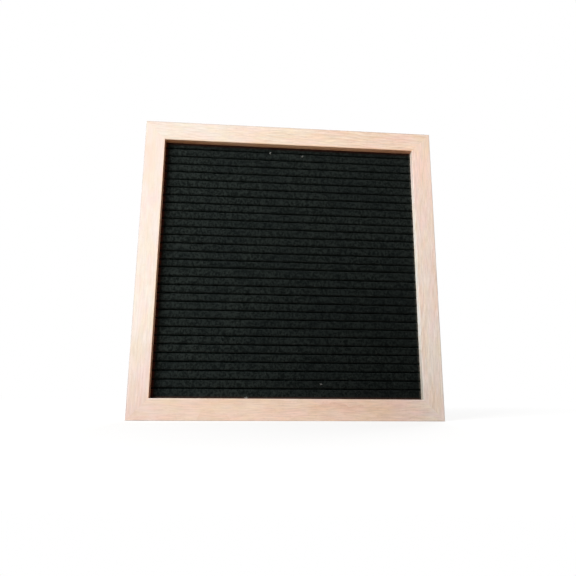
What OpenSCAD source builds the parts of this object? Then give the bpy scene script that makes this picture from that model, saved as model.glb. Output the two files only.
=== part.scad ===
// Felt letter board: a mitred wood frame round two felt-covered grooved panels on a backing board.
// The board stands upright on its bottom edge. X runs across it, Z up it, and the felt faces -Y.
// The origin is the middle of the bottom edge of the frame. All sizes are in millimetres.

/* [Frame] */
// Width of the board over the frame
board_w = 254; // [200:1:600]
// Height of the board over the frame
board_h = 254; // [200:1:600]
// Width of the moulding's face
face_w = 17; // [15:0.5:30]
// Overlap of the moulding's lip on the felt
lip_w = 6; // [4:0.5:8]
// Thickness of the lip, which is the depth from the frame's face to the felt
lip_t = 6; // [3:0.5:12]
// Rounding of the outer front edges
outer_round = 0.8; // [0.2:0.1:1.5]
// Rounding of the inner front edges
inner_round = 0.5; // [0.2:0.1:1]
// Bevel on the outer back edges
back_bevel = 0.4; // [0.2:0.1:1]

/* [Panels] */
// Gap round the panels and the backing board inside the rebate
rebate_gap = 0.5; // [0.2:0.1:1.5]
// Height of the lower panel, a whole plank
lower_panel_h = 112.6; // [60:0.1:130]
// Gap between the two panels at the seam
seam_gap = 1; // [0.3:0.1:2]
// From the seam edge of the upper panel to its first groove
upper_edge_land = 6; // [4.5:0.1:12]
// From the seam edge of the lower panel to its first groove
lower_edge_land = 7.7; // [4.5:0.1:12]
// Spacing of the upper panel's grooves
upper_pitch = 7.2; // [6.5:0.05:12]
// Spacing of the lower panel's grooves
lower_pitch = 7.05; // [6.5:0.05:12]
// Open width of a felt-lined groove
groove_w = 1.1; // [0.8:0.1:1.6]
// Depth of a felt-lined groove below the felt's face
groove_depth = 5; // [3:0.5:8]
// Thickness of the panel's plastic
panel_wall = 0.9; // [0.6:0.1:1.2]
// Thickness of the felt
felt_t = 0.9; // [0.5:0.1:1.2]
// Rounding where the felt turns down into a groove
felt_round = 0.6; // [0.2:0.1:1]
// Thickness of the backing board
backing_t = 3.2; // [2:0.1:6]

/* [Corner nails] */
// Length of one leg of a V nail
v_leg = 4.5; // [3:0.1:5]
// Thickness of a V nail's steel
v_t = 0.5; // [0.3:0.1:0.8]
// Angle between a V nail's legs
v_angle = 120; // [100:1:140]
// Depth that a V nail is driven
v_depth = 7; // [4:0.5:8]

/* [Turn buttons] */
// From the top or bottom of the frame to a turn button's screw
button_inset = 63; // [40:1:95]
// Length of a turn button from its screw to its tip
button_reach = 20; // [14:0.5:26]
// Radius of a turn button's round end about its screw
heel_r = 4.5; // [4:0.1:5]
// Radius of a turn button's round tip
tip_r = 3.4; // [2.5:0.1:3.9]
// Thickness of a turn button's steel
button_t = 1.2; // [0.8:0.1:2]
// Length of the lifted finger tip
tip_l = 3.6; // [2:0.1:5]
// Height that the finger tip is bent up
tip_rise = 1; // [0.5:0.1:2]
// Clearance of a turn button on its screw, measured on the radius
button_fit = 0.08; // [0.02:0.01:0.1]
// Clearance of a turn button under its screw's head
button_play = 0.05; // [0.02:0.01:0.2]

/* [Screws] */
// Radius of a screw's shank
screw_r = 1.4; // [1:0.1:2]
// Radius of a screw's head
screw_head_r = 2.7; // [2.3:0.1:3.5]
// Height of a screw's head
screw_head_h = 1.8; // [1:0.1:2.5]
// Length of screw in the wood
screw_grip = 8; // [5:0.5:10]

/* [Hanger] */
// Length of the sawtooth hanger
hanger_l = 44; // [42:1:60]
// Height of the sawtooth hanger
hanger_h = 9; // [7:0.5:10]
// Thickness of the hanger's steel
hanger_t = 0.8; // [0.5:0.1:1.2]
// Gap behind the hanger's raised middle, where the wall nail's head goes
hanger_rise = 2; // [1.5:0.1:3]
// Length of one flat end of the hanger
hanger_end = 8; // [7:0.5:9]
// Length of the slope from a flat end to the raised middle
hanger_slope = 2.4; // [1.5:0.1:3]
// Number of notches in the saw edge
notch_count = 9; // [3:2:9]
// Spacing of the notches
notch_pitch = 2.2; // [1.6:0.1:2.3]
// Depth of a notch
notch_depth = 1.8; // [1:0.1:2.5]
// Radius of a hanger nail's shank
nail_r = 0.7; // [0.5:0.1:0.9]
// Radius of a hanger nail's head
nail_head_r = 1.6; // [1.3:0.1:2.2]
// Height of a hanger nail's head
nail_head_h = 0.6; // [0.4:0.1:1]
// Length of hanger nail in the wood
nail_grip = 7; // [4:0.5:9]

/* [Wall bumpers] */
// Radius of a bumper where it is stuck on
bumper_r = 4.5; // [3:0.1:5]
// How much narrower a bumper is at its crown, measured on the radius
bumper_draft = 0.7; // [0.2:0.1:1.5]
// Height of a bumper
bumper_h = 3.4; // [2:0.1:6]
// From a side of the frame to a bumper's middle
bumper_inset = 24; // [20:1:60]
// From the bottom of the frame to a bumper's rim
bumper_edge = 1; // [0.5:0.1:3]

/* [Hidden] */
wood = [0.93, 0.84, 0.75];
felt_black = [0.10, 0.11, 0.11];
panel_black = [0.16, 0.16, 0.17];
hardboard = [0.45, 0.33, 0.23];
zinc = [0.72, 0.73, 0.74];
brass = [0.78, 0.65, 0.38];
rubber = [0.20, 0.20, 0.20];

// Clearance of a screw or nail in its hole, measured on the radius
driven_fit = 0.02;
// Extra depth of a hole past the point of what is driven into it
hole_end = 0.5;
// Steps in a rounding of one quarter turn
quarter_steps = 4;
// Steps in a round end of one half turn
half_steps = 16;
// Narrowest hollow worth leaving behind a land of a panel
least_hollow = 0.6;
// Spare length past a face, on a cutter or on a blank before it is cut
spare = 1;

ledge_w = face_w - lip_w;
panel_stack = groove_depth + felt_t + panel_wall;
frame_depth = lip_t + panel_stack + backing_t;
front_y = -frame_depth / 2;
back_y = frame_depth / 2;
felt_y = front_y + lip_t;
backing_y = felt_y + panel_stack;
panel_z = ledge_w + rebate_gap;
panel_w = board_w - 2 * panel_z;
backing_h = board_h - 2 * panel_z;
seam_z = panel_z + lower_panel_h + seam_gap / 2;
upper_panel_h = backing_h - lower_panel_h - seam_gap;
slot_half = groove_w / 2 + felt_t;
lip_cover = lip_w - rebate_gap;
edge_least = lip_cover + slot_half;
v_inset = ledge_w / 2 - v_leg * (cos(45 - v_angle / 2) + cos(45 + v_angle / 2)) / 2;
button_hole_r = screw_r + button_fit;
nail_hole_r = nail_r + button_fit;
hanger_z = board_h - ledge_w / 2;
hanger_nail_x = (hanger_l - hanger_end) / 2;

// Points of an arc about c, from angle a0 to angle a1
function arc(c, r, a0, a1, steps = quarter_steps) = [
    for (i = [0 : steps])
        let (a = a0 + (a1 - a0) * i / steps)
            c + r * [cos(a), sin(a)]
];

// Distances of the grooves from a panel's seam edge, as far as they clear the frame's lip
function groove_places(length, edge_land, pitch) = [
    for (i = [0 : floor((length - edge_land - edge_least) / pitch)]) edge_land + i * pitch
];

// The felt's face, [depth, distance from the seam edge], with its fold round the seam edge
function felt_face(length, grooves) = concat(
    [[panel_stack, 0]],
    arc([felt_round, felt_round], felt_round, 270, 180),
    [for (g = grooves) each groove_lining(g)],
    [[0, length]]
);

// One groove in the felt's face, with both of its rounded lips
function groove_lining(g) = let (a = groove_w / 2, r = felt_round) concat(
    arc([r, g - a - r], r, 180, 90),
    [[groove_depth, g - a], [groove_depth, g + a]],
    arc([r, g + a + r], r, 270, 180)
);

// The glued side of the felt, which is also the front of the panel
function panel_front(length, grooves) = concat(
    [[panel_stack, felt_t], [felt_t, felt_t]],
    [for (g = grooves) each [
        [felt_t, g - slot_half], [groove_depth + felt_t, g - slot_half],
        [groove_depth + felt_t, g + slot_half], [felt_t, g + slot_half]
    ]],
    [[felt_t, length]]
);

// The back of the panel, open behind each land
function panel_back(length, grooves) =
    let (last = len(grooves) - 1)
    [
        for (i = [0 : last + 1])
            let (
                low = (i == 0 ? felt_t : grooves[i - 1] + slot_half) + panel_wall,
                high = (i > last ? length : grooves[i] - slot_half) - panel_wall
            )
            if (high - low > least_hollow) each [
                [panel_stack, low], [felt_t + panel_wall, low],
                [felt_t + panel_wall, high], [panel_stack, high]
            ]
    ];

function reversed(list) = [for (i = [len(list) - 1 : -1 : 0]) list[i]];

// Section of the moulding, [from front to back, from the outer edge inwards]
module moulding_section() {
    translate([front_y, 0])
        polygon(concat(
            arc([outer_round, outer_round], outer_round, 270, 180),
            arc([inner_round, face_w - inner_round], inner_round, 180, 90),
            [[lip_t, face_w], [lip_t, ledge_w], [frame_depth, ledge_w]],
            [[frame_depth, back_bevel], [frame_depth - back_bevel, 0]]
        ));
}

// Extrudes a drawing seen from the front, [along X, along Z], from depth y0 back to depth y1
module along_y(y0, y1) {
    translate([0, y1, 0])
        rotate([90, 0, 0])
            linear_extrude(y1 - y0)
                children();
}

// A length of moulding with a mitre at each end, its outer edge on Z = 0
module mitred_moulding(length) {
    half = length / 2;
    intersection() {
        translate([-half, 0, 0])
            rotate([90, 0, 90])
                linear_extrude(length)
                    moulding_section();
        along_y(front_y - spare, back_y + spare)
            polygon([[-half, 0], [half, 0], [half - face_w, face_w], [face_w - half, face_w]]);
    }
}

// Turns what is made along the bottom edge about the middle of the board, out to this half width
module on_side(angle, half) {
    translate([0, 0, board_h / 2])
        rotate([0, angle, 0])
            translate([0, 0, -half])
                children();
}

// Mirrors what is made at the lower left corner into the corner at x_side, z_side
module in_corner(x_side, z_side) {
    translate([x_side * board_w / 2, 0, z_side > 0 ? board_h : 0])
        mirror([x_side > 0 ? 1 : 0, 0, 0])
            mirror([0, 0, z_side > 0 ? 1 : 0])
                children();
}

// A V nail across the mitre, its point towards the corner of the frame
module v_nail() {
    translate([v_inset, 0, v_inset])
        along_y(back_y - v_depth, back_y)
            for (turn = [45 - v_angle / 2, 45 + v_angle / 2])
                rotate(turn)
                    translate([-v_t / 2, -v_t / 2])
                        square([v_leg + v_t / 2, v_t]);
}

module corner_nail(x_side, z_side) {
    color(zinc) in_corner(x_side, z_side) v_nail();
}

// Centre of a turn button's screw on the back of the frame
module at_button(x_side, z_side) {
    translate([
        x_side * (board_w / 2 - ledge_w / 2),
        back_y,
        z_side > 0 ? board_h - button_inset : button_inset
    ])
        mirror([x_side > 0 ? 1 : 0, 0, 0])
            children();
}

module at_hanger_nail(x_side) {
    translate([x_side * hanger_nail_x, back_y, hanger_z])
        children();
}

// A hole bored into the back of the frame
module back_hole(radius, depth) {
    along_y(-depth, spare) circle(radius, $fn = 48);
}

module horizontal_member(z_side) {
    color(wood)
        difference() {
            on_side(z_side > 0 ? 180 : 0, board_h / 2) mitred_moulding(board_w);
            for (x_side = [-1, 1]) in_corner(x_side, z_side) v_nail();
            if (z_side > 0)
                for (x_side = [-1, 1])
                    at_hanger_nail(x_side) back_hole(nail_r + driven_fit, nail_grip + hole_end);
        }
}

module upright_member(x_side) {
    color(wood)
        difference() {
            on_side(-90 * x_side, board_w / 2) mitred_moulding(board_h);
            for (z_side = [-1, 1]) {
                in_corner(x_side, z_side) v_nail();
                at_button(x_side, z_side) back_hole(screw_r + driven_fit, screw_grip + hole_end);
            }
        }
}

// Runs a section across the board, its seam edge on Z = 0
module across_board() {
    translate([-panel_w / 2, felt_y, 0])
        rotate([90, 0, 90])
            linear_extrude(panel_w)
                children();
}

module grooved_panel(length, edge_land, pitch) {
    grooves = groove_places(length, edge_land, pitch);
    front = panel_front(length, grooves);
    back = concat([[panel_stack, length]], reversed(panel_back(length, grooves)));
    across_board() polygon(concat(front, back));
}

module felt_cover(length, edge_land, pitch) {
    grooves = groove_places(length, edge_land, pitch);
    across_board() polygon(concat(felt_face(length, grooves), reversed(panel_front(length, grooves))));
}

module above_seam() {
    translate([0, 0, seam_z + seam_gap / 2]) children();
}

module below_seam() {
    translate([0, 0, seam_z - seam_gap / 2]) mirror([0, 0, 1]) children();
}

module upper_grooved_panel() {
    color(panel_black) above_seam() grooved_panel(upper_panel_h, upper_edge_land, upper_pitch);
}

module lower_grooved_panel() {
    color(panel_black) below_seam() grooved_panel(lower_panel_h, lower_edge_land, lower_pitch);
}

module upper_felt() {
    color(felt_black) above_seam() felt_cover(upper_panel_h, upper_edge_land, upper_pitch);
}

module lower_felt() {
    color(felt_black) below_seam() felt_cover(lower_panel_h, lower_edge_land, lower_pitch);
}

module backing_board() {
    color(hardboard)
        translate([-panel_w / 2, backing_y, panel_z])
            cube([panel_w, backing_t, backing_h]);
}

// A strip of this thickness bent to a line seen from above, [along X, along Y], and centred on Z = 0
module bent_strip(line, thick, high) {
    translate([0, 0, -high / 2])
        linear_extrude(high)
            polygon(concat(line, reversed([for (p = line) p + [0, thick]])));
}

// Outline of a strip with round ends
module round_ended(length, high) {
    straight = length - high;
    square([straight, high], center = true);
    for (x = [-straight / 2, straight / 2]) translate([x, 0]) circle(high / 2, $fn = 64);
}

// Outline of a plate that narrows from radius r0 about the origin to radius r1 about x1
module tapered_outline(r0, r1, x1) {
    a = acos((r0 - r1) / x1);
    polygon(concat(arc([0, 0], r0, a, 360 - a, half_steps), arc([x1, 0], r1, -a, a, half_steps)));
}

// A turn button with its hole at the origin and its arm along +X
module turn_button() {
    bend = button_reach - tip_l;
    blank_end = button_reach + spare;
    difference() {
        intersection() {
            bent_strip([
                [-heel_r - spare, 0], [bend, 0], [blank_end, tip_rise * (blank_end - bend) / tip_l]
            ], button_t, 2 * (heel_r + spare));
            along_y(-spare, tip_rise + button_t + spare)
                tapered_outline(heel_r, tip_r, button_reach - tip_r);
        }
        translate([0, button_t, 0]) back_hole(button_hole_r, button_t + spare);
    }
}

module placed_button(x_side, z_side) {
    color(zinc) at_button(x_side, z_side) turn_button();
}

// A round-headed screw or nail with its head's underside on the XZ plane and its point towards -Y
module headed_pin(shank_r, length, head_r, head_h) {
    rim = head_h / 3;
    rotate([-90, 0, 0])
        rotate_extrude($fn = 64)
            polygon(concat(
                [[0, -length], [shank_r, -length + 2 * shank_r], [shank_r, 0], [head_r, 0]],
                [
                    for (i = [0 : quarter_steps])
                        let (a = 90 * i / quarter_steps)
                            [head_r * cos(a), rim + (head_h - rim) * sin(a)]
                ]
            ));
}

module button_screw(x_side, z_side) {
    under_head = button_t + button_play;
    color(zinc)
        at_button(x_side, z_side)
            translate([0, under_head, 0])
                headed_pin(screw_r, under_head + screw_grip, screw_head_r, screw_head_h);
}

module sawtooth_hanger() {
    blank = hanger_l / 2 + spare;
    foot = hanger_l / 2 - hanger_end;
    top = foot - hanger_slope;
    t = hanger_t;
    color(brass)
        translate([0, back_y, hanger_z])
            difference() {
                intersection() {
                    bent_strip([
                        [-blank, 0], [-foot, 0], [-top, hanger_rise],
                        [top, hanger_rise], [foot, 0], [blank, 0]
                    ], t, hanger_h + 2 * spare);
                    along_y(-spare, hanger_rise + t + spare) round_ended(hanger_l, hanger_h);
                }
                for (x_side = [-1, 1])
                    translate([x_side * hanger_nail_x, t, 0]) back_hole(nail_hole_r, t + spare);
                along_y(hanger_rise - spare, hanger_rise + t + spare) saw_notches();
            }
}

// The notches, drawn up from the lower edge of the hanger
module saw_notches() {
    for (i = [0 : notch_count - 1])
        translate([(i - (notch_count - 1) / 2) * notch_pitch, -hanger_h / 2])
            polygon([[-notch_pitch / 2, -spare], [notch_pitch / 2, -spare], [notch_pitch / 2, 0],
                [0, notch_depth], [-notch_pitch / 2, 0]]);
}

module hanger_nail(x_side) {
    color(brass)
        at_hanger_nail(x_side)
            translate([0, hanger_t, 0])
                headed_pin(nail_r, hanger_t + nail_grip, nail_head_r, nail_head_h);
}

module wall_bumper(x_side) {
    color(rubber)
        translate([x_side * (board_w / 2 - bumper_inset), back_y, bumper_edge + bumper_r])
            rotate([-90, 0, 0])
                cylinder(h = bumper_h, r1 = bumper_r, r2 = bumper_r - bumper_draft, $fn = 64);
}

horizontal_member(1);  // top_rail
horizontal_member(-1);  // bottom_rail
upright_member(-1);  // left_stile
upright_member(1);  // right_stile
corner_nail(-1, 1);  // corner_nail_top_left
corner_nail(1, 1);  // corner_nail_top_right
corner_nail(-1, -1);  // corner_nail_bottom_left
corner_nail(1, -1);  // corner_nail_bottom_right
upper_grooved_panel();
lower_grooved_panel();
upper_felt();
lower_felt();
backing_board();
placed_button(-1, 1);  // turn_button_upper_left
placed_button(1, 1);  // turn_button_upper_right
placed_button(-1, -1);  // turn_button_lower_left
placed_button(1, -1);  // turn_button_lower_right
button_screw(-1, 1);  // button_screw_upper_left
button_screw(1, 1);  // button_screw_upper_right
button_screw(-1, -1);  // button_screw_lower_left
button_screw(1, -1);  // button_screw_lower_right
sawtooth_hanger();
hanger_nail(-1);  // hanger_nail_left
hanger_nail(1);  // hanger_nail_right
wall_bumper(-1);  // wall_bumper_left
wall_bumper(1);  // wall_bumper_right
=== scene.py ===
import math

import bmesh
import bpy
import numpy as np
from mathutils import Matrix, Vector


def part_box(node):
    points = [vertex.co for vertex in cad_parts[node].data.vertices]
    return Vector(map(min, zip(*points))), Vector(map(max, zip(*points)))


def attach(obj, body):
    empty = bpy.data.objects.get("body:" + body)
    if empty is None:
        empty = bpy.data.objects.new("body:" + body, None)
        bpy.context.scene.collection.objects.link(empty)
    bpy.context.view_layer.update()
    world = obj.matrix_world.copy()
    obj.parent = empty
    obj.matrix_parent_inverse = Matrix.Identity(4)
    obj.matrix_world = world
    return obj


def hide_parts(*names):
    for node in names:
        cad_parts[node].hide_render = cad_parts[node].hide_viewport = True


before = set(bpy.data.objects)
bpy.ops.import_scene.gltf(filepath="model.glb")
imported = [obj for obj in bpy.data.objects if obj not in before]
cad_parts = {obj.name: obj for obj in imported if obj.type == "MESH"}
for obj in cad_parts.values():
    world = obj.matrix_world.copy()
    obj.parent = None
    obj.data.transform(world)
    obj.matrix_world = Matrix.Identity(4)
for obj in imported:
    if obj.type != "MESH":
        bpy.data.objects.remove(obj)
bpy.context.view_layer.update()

scene = bpy.context.scene


# The camera stands low in front of the board and a little to its left, and looks slightly
# up at it. Its lens and tilt give the sides of the frame the slopes they have in the photograph.
camera = bpy.data.objects.new("camera", bpy.data.cameras.new("camera"))
scene.collection.objects.link(camera)
scene.camera = camera
camera.data.lens = 30.27
camera.data.sensor_width = 36
camera.location = (-0.03339, -0.40224, 0.02508)
camera_turn = math.radians(4.595)
camera_tilt = math.radians(11.738)
camera_roll = math.radians(0.432)
camera.rotation_euler = (
    Matrix.Rotation(-camera_turn, 3, "Z")
    @ Matrix.Rotation(math.pi / 2 + camera_tilt, 3, "X")
    @ Matrix.Rotation(camera_roll, 3, "Z")
).to_euler()
scene.view_settings.view_transform = "Standard"


# The board stands on a plain pale table top in front of a white sweep. The table shows white
# to the eye and keeps the board's soft shadow, which fades out away from the board.
def fill(tree, socket, value):
    """Sets an input to a value, or joins it to another node's output. A colour has three parts."""
    if isinstance(value, bpy.types.NodeSocket):
        tree.links.new(value, socket)
    elif socket.type == "RGBA":
        socket.default_value = (*value, 1)
    else:
        socket.default_value = value


def add(tree, kind, inputs=None, **settings):
    """A shader node with its settings, and its inputs filled by their identifiers."""
    node = tree.nodes.new("ShaderNode" + kind)
    for name, value in settings.items():
        setattr(node, name, value)
    sockets = {socket.identifier: socket for socket in node.inputs}
    for name, value in (inputs or {}).items():
        fill(tree, sockets[name], value)
    return node


def sums(tree, operation, first, second=0.0, third=0.0):
    """The output of one step of arithmetic."""
    inputs = {"Value": first, "Value_001": second, "Value_002": third}
    return add(tree, "Math", inputs, operation=operation).outputs[0]


def ramp(tree, value, low, high, to_low=0.0, to_high=1.0):
    """The value carried smoothly from one range to another, and held at its ends."""
    inputs = {
        "Value": value, "From Min": low, "From Max": high, "To Min": to_low, "To Max": to_high,
    }
    return add(tree, "MapRange", inputs, interpolation_type="SMOOTHSTEP").outputs[0]


def grey(tree, value):
    """A grey as light as the value."""
    return add(tree, "CombineColor", {"Red": value, "Green": value, "Blue": value}).outputs[0]


def new_finish(name):
    """A material with its empty node tree, and where each point lies on its own piece."""
    material = bpy.data.materials.new(name)
    material.use_nodes = True
    tree = material.node_tree
    tree.nodes.clear()
    return material, tree, add(tree, "TexCoord").outputs["Object"]


def seen_directly(tree):
    """1 where the eye sees the surface itself, or its mirror image."""
    path = add(tree, "LightPath").outputs
    seen = sums(tree, "MAXIMUM", path["Is Camera Ray"], path["Is Glossy Ray"])
    return sums(tree, "MAXIMUM", seen, path["Is Transmission Ray"])


table_half = 4.0
table_z = -0.00005
shadow_share = 0.34
shadow_near = 0.35
shadow_far = 0.9
lamps_on_table = 0.8
table_tone = (0.42, 0.36, 0.30)
table_mesh = bpy.data.meshes.new("table_top")
table_mesh.from_pydata(
    [(x * table_half, y * table_half, table_z) for x, y in ((-1, -1), (1, -1), (1, 1), (-1, 1))],
    [], [(0, 1, 2, 3)],
)
table = bpy.data.objects.new("table_top", table_mesh)
scene.collection.objects.link(table)

# The eye sees white with the shadow on it. The board itself is lit from below by a warm table.
table_finish, tree, place = new_finish("pale table top")
away = add(tree, "VectorMath", {"Vector": place}, operation="LENGTH").outputs["Value"]
keeps = ramp(tree, away, shadow_near, shadow_far, shadow_share, 0.0)
glow = sums(tree, "SUBTRACT", 1.0, sums(tree, "MULTIPLY", keeps, lamps_on_table))
white = add(tree, "Emission", {"Color": (1, 1, 1), "Strength": glow})
shade = add(tree, "BsdfDiffuse", {"Color": grey(tree, keeps)})
seen = add(tree, "AddShader", {"Shader": white.outputs[0], "Shader_001": shade.outputs[0]})
plain = add(tree, "BsdfDiffuse", {"Color": table_tone})
whole = add(tree, "MixShader", {
    "Fac": seen_directly(tree), "Shader": plain.outputs[0], "Shader_001": seen.outputs[0],
})
add(tree, "OutputMaterial", {"Surface": whole.outputs[0]})
table_mesh.materials.append(table_finish)

room_light = 0.2
world = bpy.data.worlds.new("white sweep")
scene.world = world
world.use_nodes = True
tree = world.node_tree
tree.nodes.clear()
strength = ramp(tree, seen_directly(tree), 0.0, 1.0, room_light, 1.0)
sky = add(tree, "Background", {"Color": (1, 1, 1), "Strength": strength})
add(tree, "OutputWorld", {"Surface": sky.outputs[0]})


def lamp(name, watts, size, place, target, colour):
    """A square soft lamp that faces a point."""
    light = bpy.data.lights.new(name, "AREA")
    light.energy = watts
    light.size = size
    light.color = colour
    holder = bpy.data.objects.new(name, light)
    scene.collection.objects.link(holder)
    holder.location = place
    holder.rotation_euler = (Vector(target) - Vector(place)).to_track_quat("-Z", "Y").to_euler()


board_middle = (0, 0, 0.127)
lamp(
    "window", watts=19, size=0.7, place=(-0.86, -0.76, 0.50), target=board_middle,
    colour=(1.0, 0.985, 0.965))
lamp(
    "room behind", watts=40, size=1.8, place=(0.7, 1.7, 1.3), target=board_middle,
    colour=(1.0, 1.0, 1.0))


# The frame is four lengths of one beech moulding, rebated behind, mitred and sanded, with a thin
# matt lacquer. The grain runs along each length, so its figure turns at every mitre.
def surface(tree, inputs):
    """Ends a material in one Principled shader."""
    shader = add(tree, "BsdfPrincipled", inputs)
    add(tree, "OutputMaterial", {"Surface": shader.outputs[0]})


def bump(tree, height, strength, distance):
    """The normal of a surface with a fine relief."""
    inputs = {"Strength": strength, "Distance": distance, "Height": height}
    return add(tree, "Bump", inputs).outputs[0]


def mixed(tree, share, first, second, how="MIX"):
    """Two colours mixed."""
    inputs = {"Factor_Float": share, "A_Color": first, "B_Color": second}
    return add(tree, "Mix", inputs, data_type="RGBA", blend_type=how).outputs[2]


def laid_over(tree, colour, layers, how="MIX"):
    """A colour with others laid over it in turn, each where its own mask says."""
    for mask, layer in layers:
        colour = mixed(tree, mask, colour, layer, how)
    return colour


def new_group(name, takes, gives):
    """A node group with named inputs and outputs, its tree and the sockets of its two ends."""
    group = bpy.data.node_groups.new(name, "ShaderNodeTree")
    for label, kind in takes.items():
        group.interface.new_socket(label, in_out="INPUT", socket_type="NodeSocket" + kind)
    for label in gives:
        group.interface.new_socket(label, in_out="OUTPUT", socket_type="NodeSocketFloat")
    start = group.nodes.new("NodeGroupInput")
    end = group.nodes.new("NodeGroupOutput")
    return group, start.outputs, end.inputs


def use(tree, group, inputs):
    """A node group placed in a tree, as its outputs by name."""
    node = tree.nodes.new("ShaderNodeGroup")
    node.node_tree = group
    for name, value in inputs.items():
        fill(tree, node.inputs[name], value)
    return node.outputs


def noise(tree, place, scale, detail=2.0, rough=0.5):
    """Noise whose cell is one over the scale, in metres, along each axis."""
    spread = add(tree, "Mapping", {"Vector": place, "Scale": scale}).outputs[0]
    inputs = {"Vector": spread, "Scale": 1.0, "Detail": detail, "Roughness": rough}
    return add(tree, "TexNoise", inputs).outputs["Fac"]


def cells(tree, place, scale):
    """How far a point is from the middle of its cell, and a number drawn for that cell."""
    spread = add(tree, "Mapping", {"Vector": place, "Scale": scale}).outputs[0]
    found = add(tree, "TexVoronoi", {"Vector": spread, "Scale": 1.0}).outputs
    drawn = add(tree, "SeparateColor", {"Color": found["Color"]}).outputs[0]
    return found["Distance"], drawn


# Beech as it grows: rings about a pith that wanders, streaks, fibres and the short dark rays.
ring_wander = 0.007
beech_group, given, gives = new_group(
    "beech figure",
    {"Along the grain": "Vector", "Pith": "Vector", "Lean": "Vector"},
    ("Rings", "Streaks", "Fibre", "Rays", "Pink", "Straw", "Height"),
)
grain = given["Along the grain"]
wander = noise(beech_group, grain, (9, 30, 30), 1.0)
wandered = add(beech_group, "CombineXYZ", {
    "Y": sums(beech_group, "MULTIPLY_ADD", wander, 2 * ring_wander, -ring_wander),
}).outputs[0]
straight = add(beech_group, "Mapping", {
    "Vector": grain, "Location": given["Pith"], "Rotation": given["Lean"],
}).outputs[0]
from_pith = add(beech_group, "VectorMath", {
    "Vector": straight, "Vector_001": wandered,
}, operation="ADD").outputs[0]
rings = add(beech_group, "TexWave", {
    "Vector": from_pith, "Scale": 95.0, "Distortion": 5.0, "Detail": 2.0, "Detail Scale": 0.5,
}, wave_type="RINGS", rings_direction="X", wave_profile="SAW").outputs["Fac"]
ring_patch = ramp(beech_group, noise(beech_group, grain, (16, 90, 90), 1.0), 0.4, 0.62)
late_wood = sums(beech_group, "MULTIPLY", sums(beech_group, "POWER", rings, 1.8), ring_patch)
streaks = ramp(beech_group, noise(beech_group, grain, (55, 420, 420), 3.0, 0.65), 0.3, 0.7)
fibre = noise(beech_group, grain, (85, 1000, 1000), 3.0, 0.6)
from_ray, ray_drawn = cells(beech_group, grain, (340, 1500, 1500))
rays = sums(
    beech_group, "MULTIPLY",
    ramp(beech_group, from_ray, 0.12, 0.42, 1.0, 0.0),
    ramp(beech_group, ray_drawn, 0.45, 0.9),
)
pink = ramp(beech_group, noise(beech_group, grain, (35, 110, 110), 3.0, 0.6), 0.4, 0.64)
elsewhere = add(beech_group, "VectorMath", {
    "Vector": grain, "Vector_001": (0.4, 0.7, 0.2),
}, operation="ADD").outputs[0]
straw = ramp(beech_group, noise(beech_group, elsewhere, (45, 120, 120), 3.0, 0.6), 0.4, 0.64)
fill(beech_group, gives["Rings"], late_wood)
fill(beech_group, gives["Streaks"], streaks)
fill(beech_group, gives["Fibre"], fibre)
fill(beech_group, gives["Rays"], rays)
fill(beech_group, gives["Pink"], pink)
fill(beech_group, gives["Straw"], straw)
fill(beech_group, gives["Height"], sums(
    beech_group, "MULTIPLY_ADD", rays, -0.6, sums(beech_group, "MULTIPLY", fibre, 0.5)))

# The faces and arrises of the moulding, told apart by how far a point lies from the frame's
# front, from its outer edge and from the opening round the felt. Painted light and shade
# are laid on the Outer, Inner, Wall and Deep masks.
stile_low, stile_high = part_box("left_stile")
frame_half = round(-stile_low.x, 5)
inner_half = round(-stile_high.x, 5)
frame_front = round(stile_low.y, 5)
frame_depth = round(stile_high.y - stile_low.y, 5)
edge_group, given, gives = new_group(
    "frame edges", {"Place": "Vector"}, ("Outer", "Inner", "Wall", "Deep", "Back"))
split = add(edge_group, "SeparateXYZ", {"Vector": given["Place"]}).outputs
across = sums(edge_group, "ABSOLUTE", split["X"])
up = sums(edge_group, "ABSOLUTE", sums(edge_group, "SUBTRACT", split["Z"], frame_half))
reach = sums(edge_group, "MAXIMUM", across, up)
behind = sums(edge_group, "SUBTRACT", split["Y"], frame_front)
to_rim = sums(edge_group, "SUBTRACT", frame_half, reach)
from_opening = sums(edge_group, "SUBTRACT", reach, inner_half)
at_rim = ramp(edge_group, to_rim, 0.0, 0.0011, 1.0, 0.0)
by_front = ramp(edge_group, behind, 0.0009, 0.0020, 1.0, 0.0)
on_wall = ramp(edge_group, from_opening, 0.00002, 0.00025, 1.0, 0.0)
off_front = ramp(edge_group, behind, 0.0001, 0.0012)
by_felt = ramp(edge_group, behind, 0.0022, 0.0056)
fill(edge_group, gives["Outer"], sums(edge_group, "MULTIPLY", at_rim, by_front))
fill(edge_group, gives["Inner"], ramp(edge_group, from_opening, 0.0003, 0.0014, 1.0, 0.0))
fill(edge_group, gives["Wall"], sums(edge_group, "MULTIPLY", on_wall, off_front))
fill(edge_group, gives["Deep"], sums(edge_group, "MULTIPLY", on_wall, by_felt))
fill(edge_group, gives["Back"], ramp(edge_group, behind, frame_depth - 0.0006, frame_depth - 0.0001))


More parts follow.
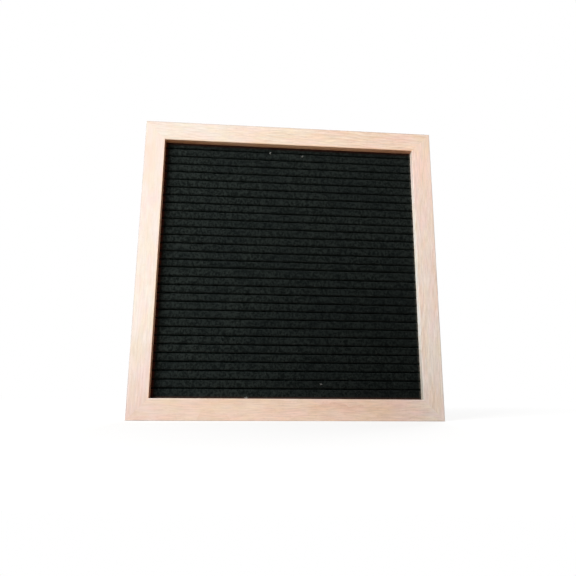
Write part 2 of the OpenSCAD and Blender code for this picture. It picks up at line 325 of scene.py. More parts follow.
def beech(name, upright, shift, pith, lean, figured, tints, corner_shade, tones):
    """Lacquered beech whose grain runs along one length of the frame, with tones from end to end.

    Figured is how strong the figure is at the start and at the end of the length. The tints
    are painted light and shade on the wall round the felt, its deep half, the arris above it
    and the outer arris. The corner shade is painted shade that darkens the wall where it runs
    into the corner at its start and at its end."""
    material, tree, place = new_finish(name)
    parts = add(tree, "SeparateXYZ", {"Vector": place}).outputs
    along = parts["Z"] if upright else parts["X"]
    over = parts["X"] if upright else parts["Z"]
    lengthwise = add(tree, "CombineXYZ", {
        "X": sums(tree, "ADD", along, shift), "Y": over, "Z": parts["Y"],
    }).outputs[0]
    figure = use(tree, beech_group, {"Along the grain": lengthwise, "Pith": pith, "Lean": lean})
    edges = use(tree, edge_group, {"Place": place})
    start = 0.0 if upright else -frame_half
    run = add(tree, "MapRange", {
        "Value": along, "From Min": start, "From Max": start + 2 * frame_half,
    }).outputs[0]
    blend = add(tree, "ValToRGB", {"Fac": run})
    stops = blend.color_ramp.elements
    while len(stops) < len(tones):
        stops.new(1.0)
    for stop, (share, tone) in zip(stops, tones):
        stop.position = share
        stop.color = (*tone, 1)

    strong = ramp(tree, run, 0.0, 1.0, *figured)
    rings = sums(tree, "MULTIPLY", figure["Rings"], strong)
    streak_strength = sums(tree, "MULTIPLY_ADD", strong, 0.7, 0.29)
    ray_strength = sums(tree, "MULTIPLY_ADD", strong, 0.6, 0.52)
    fibre_dark = sums(tree, "MULTIPLY_ADD", strong, -0.07, 0.965)
    fibre_light = sums(tree, "MULTIPLY_ADD", strong, 0.057, 1.0154)
    fibres = grey(tree, ramp(tree, figure["Fibre"], 0.32, 0.68, fibre_dark, fibre_light))
    layers = [
        (figure["Pink"], (1.02, 0.953, 0.968)),
        (figure["Straw"], (0.997, 0.985, 0.91)),
        (rings, (0.91, 0.84, 0.77)),
        (sums(tree, "MULTIPLY", figure["Streaks"], streak_strength), (0.955, 0.925, 0.89)),
        (1.0, fibres),
        (sums(tree, "MULTIPLY", figure["Rays"], ray_strength), (0.92, 0.87, 0.82)),
    ]
    # Painted light and shade on the walls and arrises.
    layers += [(edges[part], tint) for part, tint in tints.items()]
    # Painted shade where the wall runs into the corner at each end.
    for near, far, tint in ((0.06, 0.32, corner_shade[0]), (0.94, 0.68, corner_shade[1])):
        corner_shade_share = ramp(tree, run, near, far, 1.0, 0.0)
        layers.append((sums(tree, "MULTIPLY", edges["Wall"], corner_shade_share), tint))
    layers.append((edges["Back"], (0.94, 0.88, 0.80)))
    surface(tree, {
        "Base Color": laid_over(tree, blend.outputs[0], layers, "MULTIPLY"),
        "Roughness": ramp(tree, figure["Fibre"], 0.2, 0.8, 0.62, 0.5),
        "Normal": bump(tree, figure["Height"], strength=0.25, distance=0.00006),
        "Specular IOR Level": 0.3,
    })
    return material


def soften(name, width, steps=2):
    """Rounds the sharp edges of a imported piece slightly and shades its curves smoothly."""
    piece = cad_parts[name]
    for polygon in piece.data.polygons:
        polygon.use_smooth = True
    weld = piece.modifiers.new("joined corners", "WELD")
    weld.merge_threshold = 1e-6
    whole = piece.modifiers.new("whole faces", "DECIMATE")
    whole.decimate_type = "DISSOLVE"
    whole.angle_limit = math.radians(0.5)
    bevel = piece.modifiers.new("broken edges", "BEVEL")
    bevel.width = width
    bevel.segments = steps
    bevel.limit_method = "ANGLE"
    bevel.angle_limit = math.radians(35)
    shading = piece.modifiers.new("even shading", "WEIGHTED_NORMAL")
    shading.weight = 80


def dress(name, material):
    """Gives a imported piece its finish."""
    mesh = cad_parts[name].data
    mesh.materials.clear()
    mesh.materials.append(material)


upper_left_tone = (0.751, 0.697, 0.637)
upper_right_tone = (0.962, 0.802, 0.693)
lower_left_tone = (0.774, 0.635, 0.590)
lower_right_tone = (0.787, 0.709, 0.665)
# The Wall, Deep, Inner and Outer tints of each length are painted light and shade: warm painted
# bounce light and shade on the left, top and bottom walls, a painted highlight on the lit right
# wall, painted shade deep by the felt, and painted highlights and shade along the arrises. The
# corner tints are painted shade.
dress("top_rail", beech(
    "beech top rail", upright=False, shift=0.31, pith=(0, 0.052, 0.036), lean=(0, 0.012, 0.034),
    figured=(0.65, 1.12),
    tints={
        "Wall": (1.17, 0.98, 0.86), "Deep": (0.74, 0.69, 0.66),
        "Inner": (0.98, 0.87, 0.78), "Outer": (0.56, 0.52, 0.53),
    },
    corner_shade=((0.80, 0.62, 0.48), (0.70, 0.69, 0.69)),
    tones=(
        (0.04, upper_left_tone), (0.12, (0.781, 0.736, 0.692)), (0.5, (0.868, 0.757, 0.653)),
        (0.88, (0.940, 0.766, 0.672)), (0.97, upper_right_tone),
    ),
))
dress("bottom_rail", beech(
    "beech bottom rail", upright=False, shift=1.74, pith=(0, -0.044, 0.041), lean=(0, -0.01, 0.026),
    figured=(0.55, 1.05),
    tints={
        "Wall": (1.0, 0.9, 0.8), "Deep": (0.86, 0.83, 0.80),
        "Inner": (1.04, 1.10, 1.16), "Outer": (1.22, 1.32, 1.38),
    },
    corner_shade=((0.70, 0.66, 0.63), (0.70, 0.66, 0.63)),
    tones=(
        (0.04, lower_left_tone), (0.12, (0.796, 0.651, 0.559)), (0.37, (0.848, 0.686, 0.576)),
        (0.61, (0.845, 0.667, 0.572)), (0.81, (0.790, 0.605, 0.500)),
        (0.90, (0.787, 0.635, 0.580)), (0.965, lower_right_tone),
    ),
))
dress("left_stile", beech(
    "beech left stile", upright=True, shift=3.07, pith=(0, 0.061, 0.034), lean=(0, 0.014, -0.02),
    figured=(0.5, 0.0),
    tints={
        "Wall": (1.25, 0.94, 0.80), "Deep": (1.0, 0.97, 0.95),
        "Inner": (1.18, 1.04, 0.91), "Outer": (0.59, 0.59, 0.62),
    },
    corner_shade=((0.78, 0.72, 0.68), (0.57, 0.44, 0.32)),
    tones=(
        (0.04, lower_left_tone), (0.12, (0.805, 0.703, 0.671)), (0.36, (0.823, 0.772, 0.722)),
        (0.62, (0.789, 0.718, 0.681)), (0.80, (0.768, 0.690, 0.642)),
        (0.91, (0.762, 0.668, 0.620)), (0.96, upper_left_tone),
    ),
))
dress("right_stile", beech(
    "beech right stile", upright=True, shift=4.42, pith=(0, 0.047, 0.03), lean=(0, -0.016, -0.2),
    figured=(0.9, 0.72),
    tints={
        "Wall": (1.08, 1.18, 1.22), "Deep": (1.0, 0.99, 0.98),
        "Inner": (0.93, 0.98, 1.0), "Outer": (1.12, 1.18, 1.22),
    },
    corner_shade=((0.60, 0.57, 0.55), (0.75, 0.74, 0.74)),
    tones=(
        (0.04, lower_right_tone), (0.12, (0.800, 0.738, 0.681)), (0.38, (0.905, 0.802, 0.765)),
        (0.5, (0.892, 0.790, 0.730)), (0.86, (0.970, 0.796, 0.734)), (0.96, upper_right_tone),
    ),
))
for name in ("top_rail", "bottom_rail", "left_stile", "right_stile"):
    soften(name, width=0.00012)


# Each mitre is glued and held by a V nail of zinc-plated steel, driven in from behind until it
# is flush. Its plating is duller than that of the turn buttons, from the hammer.
metal_group, given, gives = new_group(
    "plated metal", {"Place": "Vector", "Fineness": "Float"}, ("Mottle", "Height"))
sized = add(metal_group, "VectorMath", {
    "Vector": given["Place"], "Scale": given["Fineness"],
}, operation="SCALE").outputs[0]
mottle = noise(metal_group, sized, (1, 1, 1), 4.0, 0.6)
scratches = ramp(metal_group, noise(metal_group, sized, (0.35, 6, 6), 3.0, 0.7), 0.55, 0.75)
fill(metal_group, gives["Mottle"], mottle)
fill(metal_group, gives["Height"], sums(metal_group, "MULTIPLY_ADD", scratches, -0.5, mottle))


def plated(name, bright, dull, smooth, rough, fineness):
    """Plated steel, cloudy and finely scratched."""
    material, tree, place = new_finish(name)
    marks = use(tree, metal_group, {"Place": place, "Fineness": fineness})
    surface(tree, {
        "Base Color": mixed(tree, ramp(tree, marks["Mottle"], 0.35, 0.65), bright, dull),
        "Metallic": 1.0,
        "Roughness": ramp(tree, marks["Mottle"], 0.3, 0.7, smooth, rough),
        "Normal": bump(tree, marks["Height"], strength=0.2, distance=0.00004),
    })
    return material


hammered = plated(
    "hammered zinc", (0.36, 0.36, 0.38), (0.26, 0.26, 0.28), smooth=0.4, rough=0.55, fineness=900.0)
for corner in ("top_left", "top_right", "bottom_left", "bottom_right"):
    dress("corner_nail_" + corner, hammered)
    soften("corner_nail_" + corner, width=0.00005, steps=1)


# Two planks of extruded black plastic lie in the rebate, one above the other. Their grooves
# give the felt its own, and their ribs stand on the backing board.
panel_black, tree, place = new_finish("black extruded plastic")
die_lines = noise(tree, place, (6, 2500, 2500), 2.0)
surface(tree, {
    "Base Color": mixed(tree, die_lines, (0.012, 0.012, 0.013), (0.022, 0.022, 0.023)),
    "Roughness": ramp(tree, die_lines, 0.3, 0.7, 0.38, 0.55),
    "Normal": bump(tree, die_lines, strength=0.3, distance=0.00003),
})
for name in ("upper_grooved_panel", "lower_grooved_panel"):
    dress(name, panel_black)


# Black felt is pressed and glued into the grooves of each plank and folded round its seam edge.
# Its lands are slightly crowned, and its lips are soft and uneven, with pale fibres standing
# out and a few tufts of white lint.
felt_low, felt_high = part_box("upper_felt")
felt_y = round(felt_low.y, 5)
stack_depth = round(felt_high.y - felt_low.y, 5)
panel_width = round(felt_high.x - felt_low.x, 5)
opening_low_z = round(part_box("bottom_rail")[1].z, 5)
opening_high_z = round(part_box("top_rail")[0].z, 5)
groove_width = 0.0011
groove_depth = 0.005
groove_floor = 0.0003
felt_thick = 0.0009
lip_round = 0.00104
covered_edge = round(felt_high.z - opening_high_z, 5)
edge_least = covered_edge + groove_width / 2 + felt_thick
felt_columns = 257
row_spacing = 0.0012
land_margin = 0.12
land_crown = 0.00016
lump_height = 0.00007
lip_swell = 0.3
lip_wobble = 0.00009
lip_wobble_most = 0.00024
groove_drift = 0.00002
seam_round = 0.0016
seam_swell = 0.3
edge_swell = 0.2
sunk_under_frame = 0.00008
free_start = 0.0004
free_reach = 0.0035
quarter = [math.radians(angle) for angle in (0, 22.5, 45, 67.5, 90)]
no_lip = -1

# How many columns of the felt one swing of each unevenness takes, and how strong the longer is.
lip_ripple, lip_wave, lip_wave_share = 1.6, 5, 0.6
drift_wave = 16
lump, broad_lump, broad_lump_share = 1.4, 7, 0.7


def groove_places(length, edge_land, pitch):
    """Distances of the grooves from a plank's seam edge."""
    count = int((length - edge_land - edge_least) / pitch + 1e-6) + 1
    return [edge_land + pitch * i for i in range(count)]


def land(start, end):
    """The crowned rows of a land between two lips, about a millimetre apart."""
    count = max(5, round((end - start) / row_spacing))
    shares = np.linspace(land_margin, 1 - land_margin, count)
    return [
        (0, start + (end - start) * share, 4 * share * (1 - share), no_lip) for share in shares
    ]


def felt_front(length, grooves):
    """The felt's face as rows: depth, distance from the seam, how much it swells, which lip."""
    rows = [(stack_depth, 0, 0, no_lip), (stack_depth / 2, 0, 0, no_lip)]
    rows += [
        (seam_round * (1 - math.sin(a)), seam_round * (1 - math.cos(a)), seam_swell, no_lip)
        for a in quarter
    ]
    last = seam_round
    for number, groove in enumerate(grooves):
        low = groove - groove_width / 2
        high = groove + groove_width / 2
        near_lip = 2 * number
        far_lip = near_lip + 1
        land_end = low - lip_round
        rows += land(last, land_end)
        rows += [
            (lip_round * (1 - math.cos(a)), land_end + lip_round * math.sin(a), lip_swell, near_lip)
            for a in quarter
        ]
        rows += [
            (groove_depth / 2, low, 0, near_lip),
            (groove_depth - groove_floor, low, 0, no_lip),
            (groove_depth, groove, 0, no_lip),
            (groove_depth - groove_floor, high, 0, no_lip),
            (groove_depth / 2, high, 0, far_lip),
        ]
        rows += [
            (lip_round * (1 - math.sin(a)), high + lip_round * (1 - math.cos(a)), lip_swell, far_lip)
            for a in quarter
        ]
        last = high + lip_round
    rows += land(last, length)
    rows.append((0, length, edge_swell, no_lip))
    return np.array(rows)


def felt_back(length, grooves):
    """The glued side of the felt, which is the front of its plank, from the seam outwards."""
    rows = [(stack_depth, felt_thick), (felt_thick, felt_thick)]
    deep = groove_depth + felt_thick
    half = groove_width / 2 + felt_thick
    for groove in grooves:
        rows += [
            (felt_thick, groove - half), (deep, groove - half),
            (deep, groove + half), (felt_thick, groove + half),
        ]
    rows.append((felt_thick, length))
    return np.array(rows)


def uneven(draws, rows, spacing):
    """Smooth random rows across the felt, each with about one swing in this many columns."""
    knots = draws.standard_normal((rows, int(felt_columns / spacing) + 3))
    at = np.arange(felt_columns) / spacing
    low = at.astype(int)
    share = at - low
    share = share * share * (3 - 2 * share)
    return knots[:, low] * (1 - share) + knots[:, low + 1] * share


def wavering(draws, front, grooves):
    """Distances of the face's rows from the seam, where every groove's lips waver a little."""
    waves = uneven(draws, len(grooves), lip_wave)
    ripples = uneven(draws, len(grooves), lip_ripple)
    opened = lip_wobble * (lip_wave_share * waves + ripples)
    drift = groove_drift * uneven(draws, len(grooves), drift_wave)
    wobble = np.stack([drift - opened, drift + opened], axis=1).reshape(-1, felt_columns)
    wobble = np.clip(wobble, -lip_wobble_most, lip_wobble_most)
    along = np.repeat(front[:, 1:2], felt_columns, axis=1)
    lips = front[:, 3].astype(int)
    on_lip = lips != no_lip
    along[on_lip] += wobble[lips[on_lip]]
    return along


def free_of_frame(x, z):
    """0 under the frame's lip, rising to 1 a few millimetres inside the opening."""
    to_side = inner_half - np.abs(x)
    inside = np.minimum(to_side, np.minimum(z - opening_low_z, opening_high_z - z))
    share = np.clip((inside - free_start) / free_reach, 0, 1)
    return share * share * (3 - 2 * share)


def swollen(draws, front, x, z):
    """How deep each point of the face lies: crowned and lumpy in the open, pressed at the frame."""
    lumps = uneven(draws, len(front), lump)
    lumps += broad_lump_share * uneven(draws, len(front), broad_lump)
    lumps[1:-1] = (lumps[:-2] + 2 * lumps[1:-1] + lumps[2:]) / 4
    swell = front[:, 2:3]
    free = free_of_frame(x, z)
    grown = land_crown * swell + lump_height * lumps * (swell > 0)
    sunk = sunk_under_frame * (1 - free) * (swell > 0)
    return front[:, :1] + np.where(swell > 0, sunk - grown * free, 0)


def closed_sheet(name, rows, way):
    """A mesh of rows that close on themselves, with a face over each end."""
    count = len(rows)
    number = np.arange(count * felt_columns).reshape(count, felt_columns)
    after = np.roll(number, -1, axis=0)
    quads = np.stack([
        number[:, :-1], number[:, 1:], after[:, 1:], after[:, :-1],
    ], axis=2).reshape(-1, 4)
    if way > 0:
        ends = [number[:, 0], number[::-1, -1]]
    else:
        quads = quads[:, ::-1]
        ends = [number[::-1, 0], number[:, -1]]
    mesh = bpy.data.meshes.new(name)
    mesh.from_pydata(
        rows.reshape(-1, 3).tolist(), [], quads.tolist() + [end.tolist() for end in ends])
    mesh.polygons.foreach_set("use_smooth", [True] * len(quads) + [False, False])
    return mesh


def felt_cover(name, node, way, edge_land, pitch, seed):
    """One plank's felt, built up or down from the seam, and the length it was cut to."""
    low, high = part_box(node)
    seam_edge = round(low.z if way > 0 else high.z, 5)
    length = round(high.z - low.z, 5)
    draws = np.random.default_rng(seed)
    grooves = groove_places(length, edge_land, pitch)
    front = felt_front(length, grooves)
    back = felt_back(length, grooves)[::-1]
    x = np.linspace(-panel_width / 2, panel_width / 2, felt_columns)
    z = seam_edge + way * wavering(draws, front, grooves)
    y = felt_y + swollen(draws, front, x, z)
    back_y = np.repeat(felt_y + back[:, :1], felt_columns, axis=1)
    back_z = np.repeat(seam_edge + way * back[:, 1:2], felt_columns, axis=1)
    rows = np.concatenate([
        np.stack([np.broadcast_to(x, y.shape), y, z], axis=2),
        np.stack([np.broadcast_to(x, back_y.shape), back_y, back_z], axis=2),
    ])
    felt = bpy.data.objects.new(name, closed_sheet(name, rows, way))
    scene.collection.objects.link(felt)
    felt.data.materials.append(felt_black)
    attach(felt, "frame")
    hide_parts(node)
    flat_length = float(np.linalg.norm(np.diff(front[:, :2], axis=0), axis=1).sum())
    return felt, flat_length


felt_black, tree, place = new_finish("black felt")
nap = noise(tree, place, (740, 740, 600), 3.0, 0.62)
fine = noise(tree, place, (2600, 2600, 2000), 2.0, 0.6)
cloud = noise(tree, place, (28, 28, 28), 2.0)
from_fleck, fleck_drawn = cells(tree, place, (420, 420, 420))
flecks = sums(
    tree, "MULTIPLY",
    ramp(tree, from_fleck, 0.08, 0.3, 0.7, 0.0),
    ramp(tree, fleck_drawn, 0.8, 0.95),
)
dark_pile = (0.0032, 0.0050, 0.0048)
light_pile = (0.0184, 0.0240, 0.0226)
colour = mixed(tree, ramp(tree, nap, 0.42, 0.58), dark_pile, light_pile)
colour = laid_over(tree, colour, (
    (ramp(tree, fine, 0.42, 0.75, 0.0, 0.5), (0.0245, 0.0302, 0.0280)),
    (flecks, (0.045, 0.052, 0.050)),
    (ramp(tree, cloud, 0.4, 0.7, 0.0, 0.3), (0.0056, 0.0080, 0.0094)),
))

# Painted shade: the felt is darker towards the lower right, where less light falls on it.
spot = add(tree, "SeparateXYZ", {"Vector": place}).outputs
rightward = ramp(tree, spot["X"], -inner_half, inner_half)
downward = ramp(tree, spot["Z"], opening_low_z, opening_high_z, 1.0, 0.0)
painted_falloff = sums(tree, "MULTIPLY_ADD", sums(tree, "MULTIPLY", rightward, downward), -0.42, 1.04)
painted_falloff = sums(tree, "MULTIPLY_ADD", rightward, -0.08, painted_falloff)
colour = mixed(tree, 1.0, colour, grey(tree, painted_falloff), "MULTIPLY")

# Beside the walls of the frame the pile is painted with warm light thrown onto it from the wood:
# reddish by the shaded left and top walls, and lighter by the sill and the lit right wall.
from_left = sums(tree, "ADD", spot["X"], inner_half)
from_right = sums(tree, "SUBTRACT", inner_half, spot["X"])
from_sill = sums(tree, "SUBTRACT", spot["Z"], opening_low_z)
from_head = sums(tree, "SUBTRACT", opening_high_z, spot["Z"])
from_left_or_head = sums(tree, "MINIMUM", from_left, from_head)
colour = laid_over(tree, colour, (
    (ramp(tree, from_left_or_head, 0.0005, 0.0030, 0.8, 0.0), (0.0285, 0.0084, 0.0056)),
    (ramp(tree, from_left, 0.0004, 0.0028, 0.75, 0.0), (0.0780, 0.0170, 0.0080)),
    (ramp(tree, from_sill, 0.0007, 0.0018, 0.8, 0.0), (0.045, 0.024, 0.018)),
    (ramp(tree, from_right, 0.0004, 0.0020, 0.8, 0.0), (0.060, 0.056, 0.047)),
))

# Down in the grooves the felt's shade is painted lighter and cooler, and painted shade
# darkens a groove's lower wall where it faces up.
below_face = sums(tree, "SUBTRACT", spot["Y"], felt_y)
normal = add(tree, "TexCoord").outputs["Normal"]
faces_up = ramp(tree, add(tree, "SeparateXYZ", {"Vector": normal}).outputs["Z"], 0.4, 0.9)
painted_groove_shade = sums(tree, "MULTIPLY", faces_up, ramp(tree, below_face, 0.0005, 0.0014))
colour = laid_over(tree, colour, (
    (ramp(tree, below_face, 0.0004, 0.0018), (0.80, 1.50, 1.42)),
    (painted_groove_shade, (0.30, 0.30, 0.30)),
), "MULTIPLY")
pile = sums(tree, "MULTIPLY_ADD", fine, 0.35, nap)
surface(tree, {
    "Base Color": colour,
    "Roughness": ramp(tree, nap, 0.2, 0.8, 0.98, 0.88),
    "Specular IOR Level": 0.0,
    "Sheen Weight": 0.06,
    "Sheen Roughness": 0.45,
    "Sheen Tint": (0.72, 0.80, 0.80),
    "Normal": bump(tree, pile, strength=0.9, distance=0.0004),
})

upper_felt, upper_flat = felt_cover(
    "felt_upper", "upper_felt", way=1, edge_land=0.006, pitch=0.0072, seed=11)
lower_felt, lower_flat = felt_cover(
    "felt_lower", "lower_felt", way=-1, edge_land=0.0077, pitch=0.00705, seed=12)

# Loose fibre is matt and mottled, whether it comes out of the felt or settles on it as lint.
fibre_group, given, gives = new_group(
    "loose fibre", {"Place": "Vector", "Fineness": "Float"}, ("Shade", "Roughness"))
sized = add(fibre_group, "VectorMath", {
    "Vector": given["Place"], "Scale": given["Fineness"],
}, operation="SCALE").outputs[0]
shade = ramp(fibre_group, noise(fibre_group, sized, (1, 1, 1), 1.0), 0.35, 0.65)
fill(fibre_group, gives["Shade"], shade)
fill(fibre_group, gives["Roughness"], ramp(fibre_group, shade, 0.0, 1.0, 0.95, 0.85))


def loose_fibre(name, fineness, dark, light):
    """Matt fibre, mottled between a dark and a light tone."""
    material, tree, place = new_finish(name)
    fibre = use(tree, fibre_group, {"Place": place, "Fineness": fineness})
    surface(tree, {
        "Base Color": mixed(tree, fibre["Shade"], dark, light),
        "Roughness": fibre["Roughness"],
        "Specular IOR Level": 0.0,
    })
    return material


pale_fibre = loose_fibre(
    "pale fibre", fineness=900.0, dark=(0.035, 0.042, 0.040), light=(0.105, 0.118, 0.112))
white_lint = loose_fibre(
    "white lint", fineness=1500.0, dark=(0.36, 0.37, 0.36), light=(0.62, 0.63, 0.62))
hair_rings = 6
hair_corners = (0, 2 * math.pi / 3, 4 * math.pi / 3)
hair_curl = 1.6
hair_taper = 0.6
hair_root = 0.1
least_rise = 0.15


def hairs(name, starts, faces, lengths, radius, rise, finish, seed):
    """Thin curved three-sided hairs, closed at both ends, that lie or arch on the face given."""
    draws = np.random.default_rng(seed)
    count = len(starts)
    share = np.linspace(0, 1, hair_rings)
    heading = draws.uniform(0, 2 * math.pi, count)
    curl = draws.normal(0, hair_curl, count)
    angle = heading[:, None] + curl[:, None] * share[None, :]
    step = lengths[:, None] / (hair_rings - 1)
    x = starts[:, :1] + np.cumsum(np.cos(angle) * step, axis=1)
    z = starts[:, 1:] + np.cumsum(np.sin(angle) * step, axis=1)
    arch = np.sin(math.pi * np.clip(share + hair_root, 0, 1))
    y = faces - radius - draws.uniform(least_rise, 1.0, (count, 1)) * rise * arch
    line = np.stack([x, y, z], axis=2)
    tangent = np.gradient(line, axis=1)
    tangent /= np.linalg.norm(tangent, axis=2, keepdims=True)
    side = np.cross(tangent, (0.0, 1.0, 0.0))
    side /= np.linalg.norm(side, axis=2, keepdims=True)
    over = np.cross(side, tangent)
    thick = radius * (1 - hair_taper * share ** 3)[None, :, None]
    points = np.stack([
        line + thick * (math.cos(a) * side + math.sin(a) * over) for a in hair_corners
    ], axis=2)
    shape = (count, hair_rings, len(hair_corners))
    number = np.arange(math.prod(shape)).reshape(shape)
    round_on = np.roll(number, -1, axis=2)
    quads = np.stack([
        number[:, :-1], round_on[:, :-1], round_on[:, 1:], number[:, 1:],
    ], axis=3).reshape(-1, 4)
    mesh = bpy.data.meshes.new(name)
    mesh.from_pydata(
        points.reshape(-1, 3).tolist(), [],
        quads.tolist() + number[:, 0, ::-1].tolist() + number[:, -1].tolist())
    mesh.polygons.foreach_set("use_smooth", [True] * len(mesh.polygons))
    mesh.materials.append(finish)
    piece = bpy.data.objects.new(name, mesh)
    scene.collection.objects.link(piece)
    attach(piece, "frame")
    return piece


felt_face = felt_y - land_crown
fibre_margin = 0.004
fibre_least, fibre_most = 0.0008, 0.0036
fibre_log_mean, fibre_log_spread = -6.2, 0.45


def stray_fibres(name, low_z, high_z, seed, count=1300):
    """Loose fibres scattered over one plank's felt, inside the frame's opening."""
    draws = np.random.default_rng(seed)
    side = inner_half - fibre_margin
    starts = np.stack([
        draws.uniform(-side, side, count),
        draws.uniform(low_z, high_z, count),
    ], axis=1)
    lengths = draws.lognormal(fibre_log_mean, fibre_log_spread, count)
    return hairs(
        name, starts, felt_face, np.clip(lengths, fibre_least, fibre_most),
        radius=0.000022, rise=0.00025, finish=pale_fibre, seed=seed + 100)


upper_fibres = stray_fibres("felt_fibres_upper", low_z=0.1275, high_z=0.2325, seed=21)
lower_fibres = stray_fibres("felt_fibres_lower", low_z=0.0215, high_z=0.1215, seed=22)

# Three tufts of lint lie on the felt and one on the inner arris of the bottom rail. Each has its
# middle, how far it spreads across and up, how many hairs it has, and the depth that they lie at.
sill_inset = 0.0007
sill_face = frame_front + sill_inset
lint_tufts = (
    (-0.0181, 0.2313, 0.00016, 0.0004, 20, felt_face),
    (0.0109, 0.2296, 0.0001, 0.0006, 14, felt_face),
    (0.0263, 0.0289, 0.0007, 0.00012, 18, felt_face),
    (-0.0343, 0.0176, 0.0005, 0.00014, 70, sill_face),
)
lint_length = 0.0007
lint_draws = np.random.default_rng(31)
lint_places = np.concatenate([
    (x, z) + lint_draws.normal(0, 1, (count, 2)) * (across, up)
    for x, z, across, up, count, face in lint_tufts
])
lint_faces = np.concatenate([
    np.full((count, 1), face) for x, z, across, up, count, face in lint_tufts
])
lint_lengths = np.full(len(lint_places), lint_length)
lint = hairs(
    "lint", lint_places, lint_faces, lint_lengths,
    radius=0.00004, rise=0.0004, finish=white_lint, seed=32)


# The backing board is smooth brown hardboard, cut a little smaller than the rebate. It presses
# the planks against the lip and lies flush with the ledge behind.
hardboard, tree, place = new_finish("brown hardboard")
pulp = noise(tree, place, (640, 640, 640), 4.0, 0.65)
shives = noise(tree, place, (1300, 1300, 520), 3.0, 0.7)
sheet_cloud = noise(tree, place, (16, 16, 16), 2.0)
dark_pulp = (0.138, 0.074, 0.038)
light_pulp = (0.232, 0.133, 0.070)
colour = mixed(tree, ramp(tree, pulp, 0.38, 0.62), dark_pulp, light_pulp)
surface(tree, {
    "Base Color": laid_over(tree, colour, (
        (ramp(tree, shives, 0.54, 0.68, 0.0, 0.7), (0.370, 0.235, 0.135)),
        (ramp(tree, sheet_cloud, 0.35, 0.7, 0.0, 0.35), (0.120, 0.062, 0.032)),
    )),
    "Roughness": ramp(tree, pulp, 0.3, 0.7, 0.42, 0.6),
    "Specular IOR Level": 0.4,
    "Normal": bump(tree, shives, strength=0.25, distance=0.00008),
})
dress("backing_board", hardboard)
soften("backing_board", width=0.0003)


# Four turn buttons, stamped from zinc-plated steel, hold the backing board in. Each turns on
# the shank of its screw, and its tip is bent up for a fingernail.
zinc = plated(
    "zinc plated steel", (0.43, 0.44, 0.46), (0.33, 0.34, 0.37),
    smooth=0.32, rough=0.48, fineness=800.0)
corners = ("upper_left", "upper_right", "lower_left", "lower_right")
for corner in corners:
    dress("turn_button_" + corner, zinc)
    soften("turn_button_" + corner, width=0.00022, steps=3)


# Each turn button has a pan-head screw of the same plated steel, driven into the stile through
# its eye. The head is a low dome with a cross recess, and each was stopped at its own angle.
head_radius = 0.0027
head_height = 0.0018
head_rim = 0.0006
head_foot = 0.97
foot_rise = 0.3
shank_radius = 0.0014
screw_length = 0.00925
recess_half = 0.00034
recess_reach = 0.00155
recess_depth = 0.0012
recess_taper = 0.35
cutter_rise = 0.0005
first_turn = 0.5
turn_step = 1.1


def revolved(name, outline, sides=64):
    """A closed solid of revolution about +Y, from rows of radius and height."""
    builder = bmesh.new()
    around = [2 * math.pi * i / sides for i in range(sides)]
    rings = [
        [
            builder.verts.new((radius * math.cos(a), height, radius * math.sin(a)))
            for a in (around if radius > 0 else around[:1])
        ]
        for radius, height in outline
    ]
    for low, high in zip(rings, rings[1:]):
        for i in range(sides):
            j = (i + 1) % sides
            if len(low) == 1:
                builder.faces.new((low[0], high[i], high[j]))
            elif len(high) == 1:
                builder.faces.new((low[i], high[0], low[j]))
            else:
                builder.faces.new((low[i], high[i], high[j], low[j]))
    bmesh.ops.recalc_face_normals(builder, faces=builder.faces)
    mesh = bpy.data.meshes.new(name)
    builder.to_mesh(mesh)
    builder.free()
    return mesh


def settle(piece):
    """Turns a piece's modifiers into its plain mesh."""
    depsgraph = bpy.context.evaluated_depsgraph_get()
    mesh = bpy.data.meshes.new_from_object(piece.evaluated_get(depsgraph))
    piece.modifiers.clear()
    piece.data = mesh


def recess_cutter(top):
    """The tapered cross that a screwdriver fits, cut down from the crown of the head."""
    builder = bmesh.new()
    for turn in (0, math.pi / 2):
        spin = Matrix.Rotation(turn, 3, "Y")
        made = [
            builder.verts.new(spin @ Vector((x * reach, height, z * recess_half)))
            for height, reach in (
                (top + cutter_rise, recess_reach), (top - recess_depth, recess_reach * recess_taper))
            for x, z in ((-1, -1), (1, -1), (1, 1), (-1, 1))
        ]
        for face in (
            (0, 1, 2, 3), (4, 5, 6, 7),
            (0, 1, 5, 4), (1, 2, 6, 5), (2, 3, 7, 6), (3, 0, 4, 7),
        ):
            builder.faces.new([made[i] for i in face])
    bmesh.ops.recalc_face_normals(builder, faces=builder.faces)
    mesh = bpy.data.meshes.new("recess_cutter")
    builder.to_mesh(mesh)
    builder.free()
    cutter = bpy.data.objects.new("recess_cutter", mesh)
    scene.collection.objects.link(cutter)
    return cutter


def pan_head(radius, height, rim, steps=10):
    """Outline of a low domed head, from its rim to its crown."""
    rows = [(radius * head_foot, 0), (radius, rim * foot_rise), (radius, rim)]
    for i in range(1, steps):
        a = math.pi / 2 * i / steps
        rows.append((radius * math.cos(a), rim + (height - rim) * math.sin(a)))
    return rows + [(0, height)]


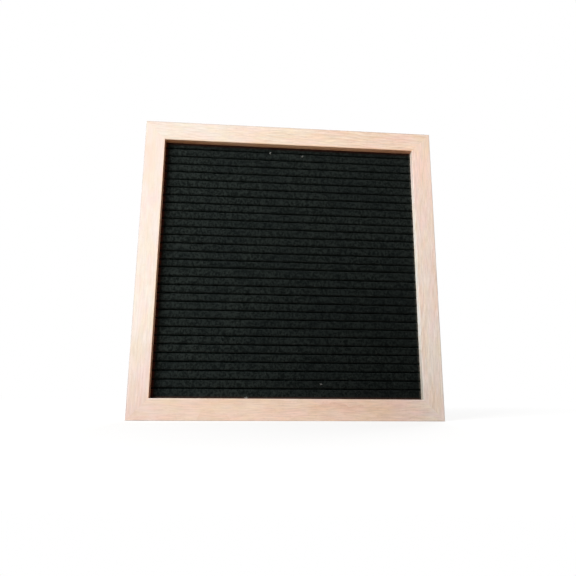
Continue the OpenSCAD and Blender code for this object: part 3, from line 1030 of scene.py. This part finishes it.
screw_outline = [
    (0, -screw_length), (shank_radius, -screw_length + 2 * shank_radius), (shank_radius, 0),
]
screw_outline += pan_head(head_radius, head_height, head_rim)
for number, corner in enumerate(corners):
    low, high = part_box("button_screw_" + corner)
    middle = (low + high) / 2
    name = "pan_head_screw_" + corner
    screw = bpy.data.objects.new(name, revolved(name, screw_outline))
    scene.collection.objects.link(screw)
    cutter = recess_cutter(head_height)
    cut = screw.modifiers.new("recess", "BOOLEAN")
    cut.object = cutter
    cut.solver = "EXACT"
    cut.use_self = True
    bpy.context.view_layer.update()
    settle(screw)
    bpy.data.objects.remove(cutter)
    screw.data.transform(Matrix.Rotation(first_turn + turn_step * number, 4, "Y"))
    screw.location = (middle.x, high.y - head_height, middle.z)
    for polygon in screw.data.polygons:
        polygon.use_smooth = True
    edge = screw.modifiers.new("broken edges", "BEVEL")
    edge.width = 0.00006
    edge.segments = 2
    edge.limit_method = "ANGLE"
    edge.angle_limit = math.radians(40)
    screw.modifiers.new("even shading", "WEIGHTED_NORMAL")
    screw.data.materials.clear()
    screw.data.materials.append(zinc)
    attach(screw, "frame")
    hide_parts("button_screw_" + corner)


# The sawtooth hanger is stamped from brass-plated steel and nailed to the middle of the top rail.
# The saw edge faces down, and a nail in the wall goes behind its raised middle.
brass = plated(
    "brass plated steel", (0.44, 0.30, 0.12), (0.34, 0.23, 0.092),
    smooth=0.32, rough=0.48, fineness=800.0)
dress("sawtooth_hanger", brass)
soften("sawtooth_hanger", width=0.0001)
for side in ("left", "right"):
    dress("hanger_nail_" + side, brass)
    soften("hanger_nail_" + side, width=0.00008)


# Two round bumpers of soft black rubber are stuck on the lower corners of the back, so that
# the board hangs level and doesn't mark the wall.
rubber, tree, place = new_finish("black rubber")
bloom = noise(tree, place, (700, 700, 700), 3.0, 0.6)
bloomed = ramp(tree, bloom, 0.35, 0.7)
surface(tree, {
    "Base Color": mixed(tree, bloomed, (0.016, 0.016, 0.017), (0.032, 0.032, 0.033)),
    "Roughness": ramp(tree, bloom, 0.3, 0.7, 0.55, 0.75),
    "Specular IOR Level": 0.35,
    "Normal": bump(tree, bloom, strength=0.2, distance=0.00005),
})
for side in ("left", "right"):
    dress("wall_bumper_" + side, rubber)
    soften("wall_bumper_" + side, width=0.0005, steps=4)
